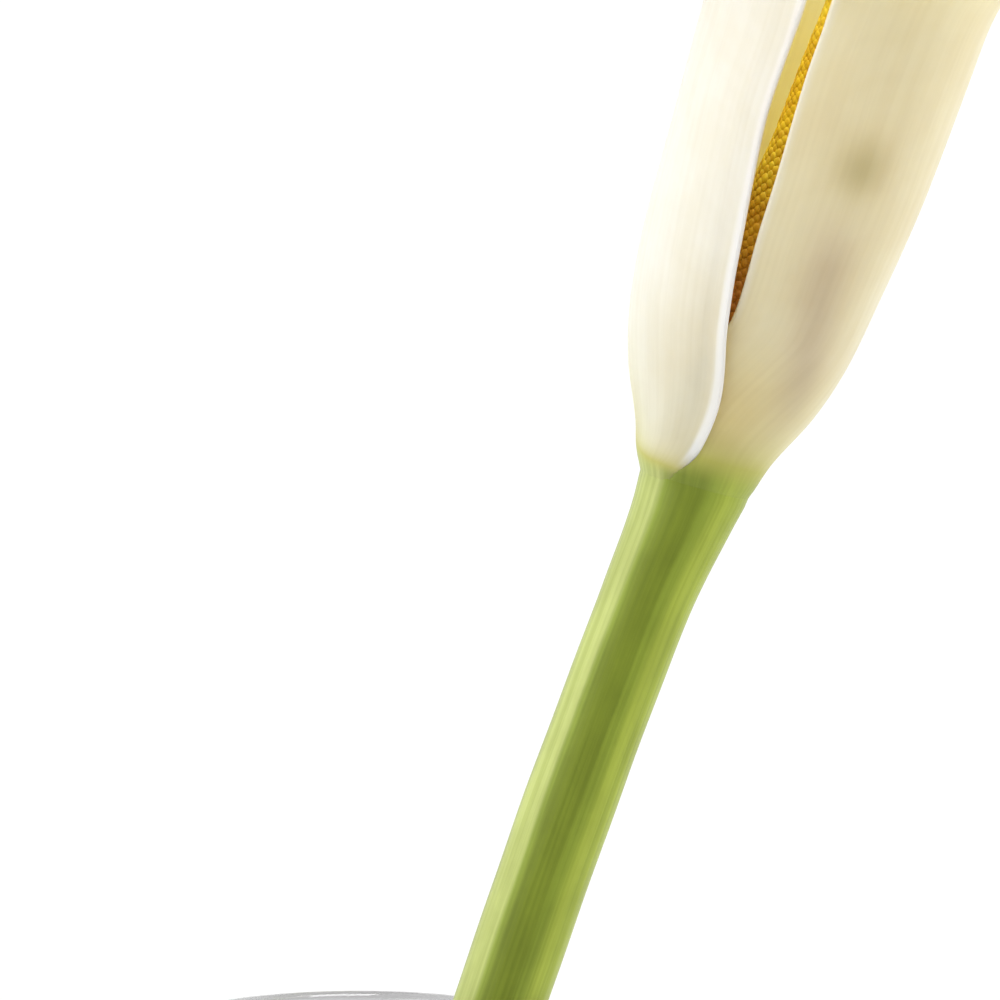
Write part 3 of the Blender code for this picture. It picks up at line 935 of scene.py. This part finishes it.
floor_size = 0.60
floor_rings = 24
floor_sides = 64
floor_drop = 0.0002  # just under the vase
floor_looks, tree, shader = new_material("stage_floor")
shader.inputs["Base Color"].default_value = (0.97, 0.97, 0.97, 1.0)
shader.inputs["Roughness"].default_value = 0.6
where = node(tree, "ShaderNodeTexCoord")
far = node(tree, "ShaderNodeVectorMath", operation="LENGTH")
tree.links.new(where.outputs["Object"], far.inputs[0])
fade = node(tree, "ShaderNodeMapRange", interpolation_type="SMOOTHSTEP")
fade.inputs["From Min"].default_value = 0.10 * floor_size
fade.inputs["From Max"].default_value = 0.98 * floor_size
tree.links.new(far.outputs["Value"], fade.inputs["Value"])
clear = node(tree, "ShaderNodeBsdfTransparent")
blend = node(tree, "ShaderNodeMixShader")
tree.links.new(fade.outputs[0], blend.inputs["Fac"])
tree.links.new(shader.outputs[0], blend.inputs[1])
tree.links.new(clear.outputs[0], blend.inputs[2])
tree.links.new(blend.outputs[0], tree.nodes["Material Output"].inputs["Surface"])
points, faces = [(0.0, 0.0, -floor_drop)], []
for r in range(1, floor_rings + 1):
    for k in range(floor_sides):
        angle = 2.0 * math.pi * k / floor_sides
        reach = floor_size * r / floor_rings
        points.append((reach * math.cos(angle), reach * math.sin(angle), -floor_drop))
for k in range(floor_sides):
    faces.append((0, 1 + k, 1 + (k + 1) % floor_sides))
for r in range(floor_rings - 1):
    for k in range(floor_sides):
        a, b = 1 + r * floor_sides + k, 1 + r * floor_sides + (k + 1) % floor_sides
        faces.append((a, a + floor_sides, b + floor_sides, b))
floor = mesh_piece("stage_floor", points, faces, floor_looks)

world = bpy.data.worlds.new("white_studio")
bpy.context.scene.world = world
world.use_nodes = True
tree = world.node_tree
direction = node(tree, "ShaderNodeTexCoord").outputs["Generated"]
split = node(tree, "ShaderNodeSeparateXYZ")
tree.links.new(direction, split.inputs[0])
deep = node(tree, "ShaderNodeMapRange", interpolation_type="SMOOTHSTEP")
for name, value in (("From Min", -0.75), ("From Max", 0.25), ("To Min", 0.56), ("To Max", 1.05)):
    deep.inputs[name].default_value = value
tree.links.new(split.outputs["Y"], deep.inputs["Value"])
high = node(tree, "ShaderNodeMapRange", interpolation_type="SMOOTHSTEP")
for name, value in (("From Min", 0.45), ("From Max", 0.85), ("To Min", 1.0), ("To Max", 0.55)):
    high.inputs[name].default_value = value
tree.links.new(split.outputs["Z"], high.inputs["Value"])
strength = math_node(tree, "MULTIPLY", deep.outputs[0], high.outputs[0])
seen = node(tree, "ShaderNodeLightPath").outputs["Is Camera Ray"]
level = math_node(tree, "MAXIMUM", strength, seen)
tree.links.new(level, tree.nodes["Background"].inputs["Strength"])
tree.nodes["Background"].inputs["Color"].default_value = (1.0, 1.0, 1.0, 1.0)


def soft_light(name, place, target, wide, tall, watts, colour=(1.0, 1.0, 1.0)):
    """A rectangular studio light that faces a point."""
    lamp = bpy.data.lights.new(name, "AREA")
    lamp.shape = "RECTANGLE"
    lamp.size, lamp.size_y, lamp.energy, lamp.color = wide, tall, watts, colour
    made = bpy.data.objects.new(name, lamp)
    made.location = place
    made.rotation_euler = (Vector(target) - Vector(place)).to_track_quat("-Z", "Y").to_euler()
    bpy.context.scene.collection.objects.link(made)


flower_middle = (0.06, 0.0, 0.25)
soft_light("key_left", (-0.82, -0.48, 0.45), flower_middle, 1.1, 1.0, 4.8, (1.0, 0.985, 0.96))
soft_light("fill_right", (0.9, 0.1, 0.4), flower_middle, 0.6, 0.9, 1.8)
soft_light("top_soft", (0.10, -0.12, 1.05), (0.09, 0.0, 0.32), 0.4, 0.4, 4.5)

camera_data = bpy.data.cameras.new("camera")
camera = bpy.data.objects.new("camera", camera_data)
bpy.context.scene.collection.objects.link(camera)
bpy.context.scene.camera = camera
camera_data.sensor_width = 36.0
camera_data.lens = 259.2
camera_data.clip_start = 0.05
camera_data.clip_end = 20.0
camera.location = (0.0245, -1.2, 0.3702)
camera.rotation_euler = (math.radians(90.0 - 6.2), 0.0, 0.0)
bpy.context.scene.view_settings.view_transform = "Standard"
